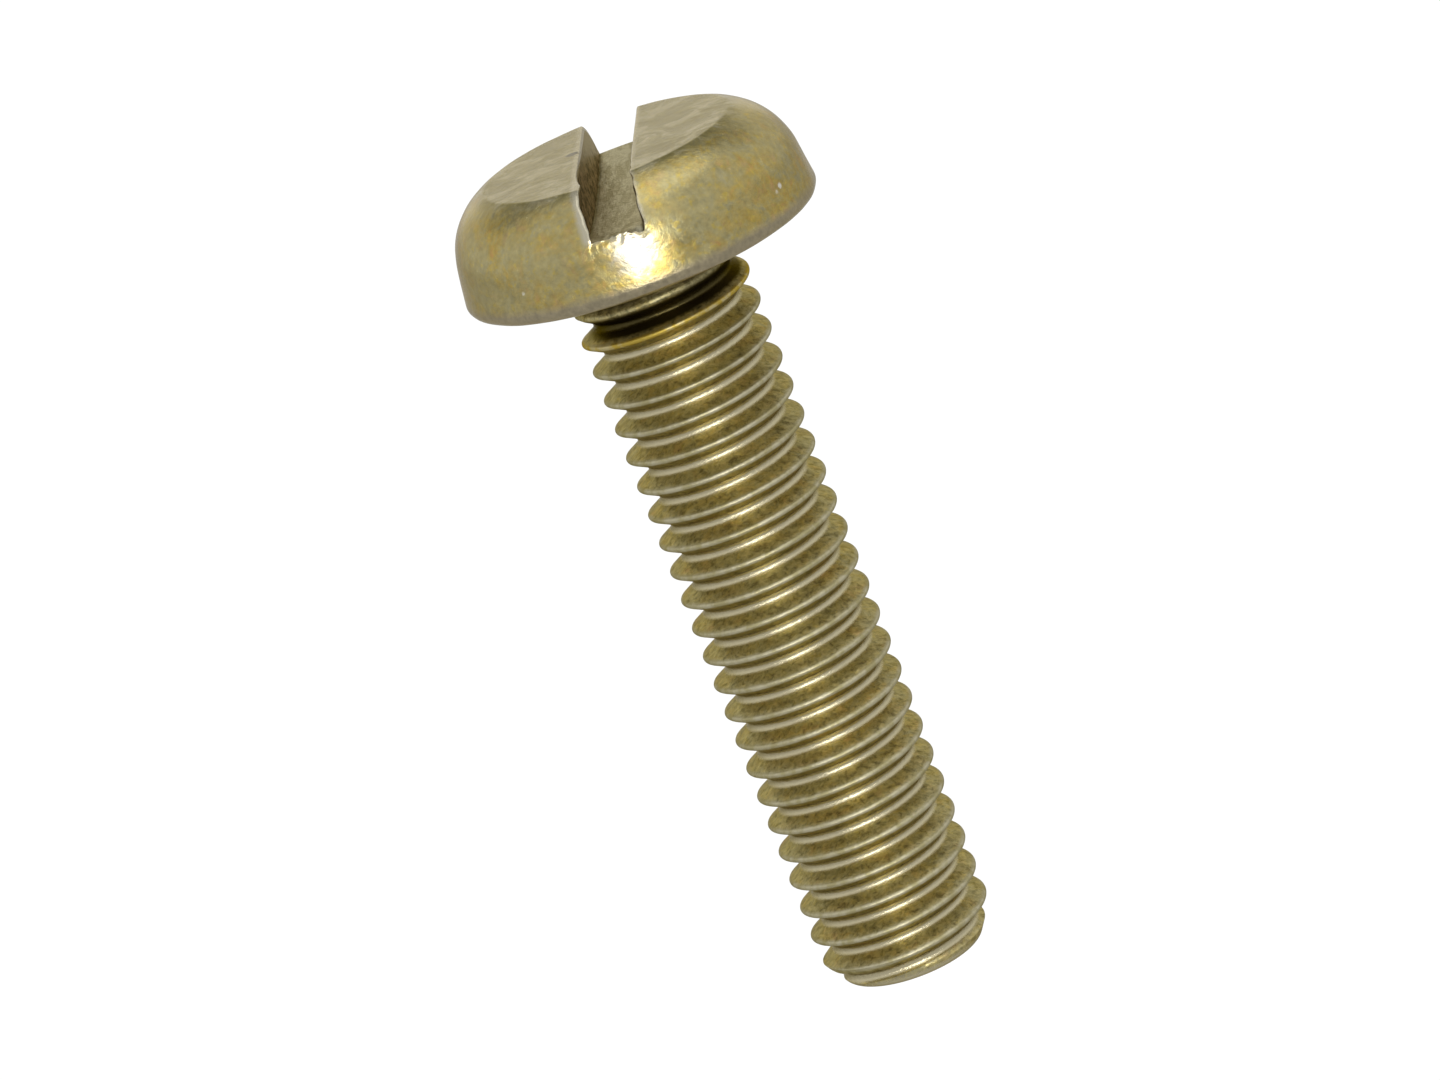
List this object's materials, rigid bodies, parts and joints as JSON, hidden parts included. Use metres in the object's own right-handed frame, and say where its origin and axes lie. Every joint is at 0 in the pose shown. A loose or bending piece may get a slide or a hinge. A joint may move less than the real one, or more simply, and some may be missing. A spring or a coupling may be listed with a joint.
{
  "type": "slotted pan head machine screw",
  "caption": "Right-hand threaded machine screw with a slotted pan head, fully threaded parallel shank and tapered flat point, yellow-plated steel.",
  "frame": {"origin": "on the screw's axis in the bearing plane, the flat underside of the head, where the screw meets what it clamps", "axes": "+Z along the screw's axis towards the top of the head, so the shank points along -Z; the driver slot runs along Y; a crest of the thread crosses the +X side 0.69 mm below the bearing plane"},
  "size_m": [0.0116, 0.0116, 0.0285],
  "materials": {
    "head_plating": "steel with yellow-passivated zinc plating, satin, mottled gold and grey-green, lightly worn",
    "thread_plating": "the same plating, rolled smooth on the crests and duller and darker down the flanks"
  },
  "bodies": {
    "root": {"head": "head_plating", "threaded_shank": "thread_plating"}
  },
  "joints": []
}
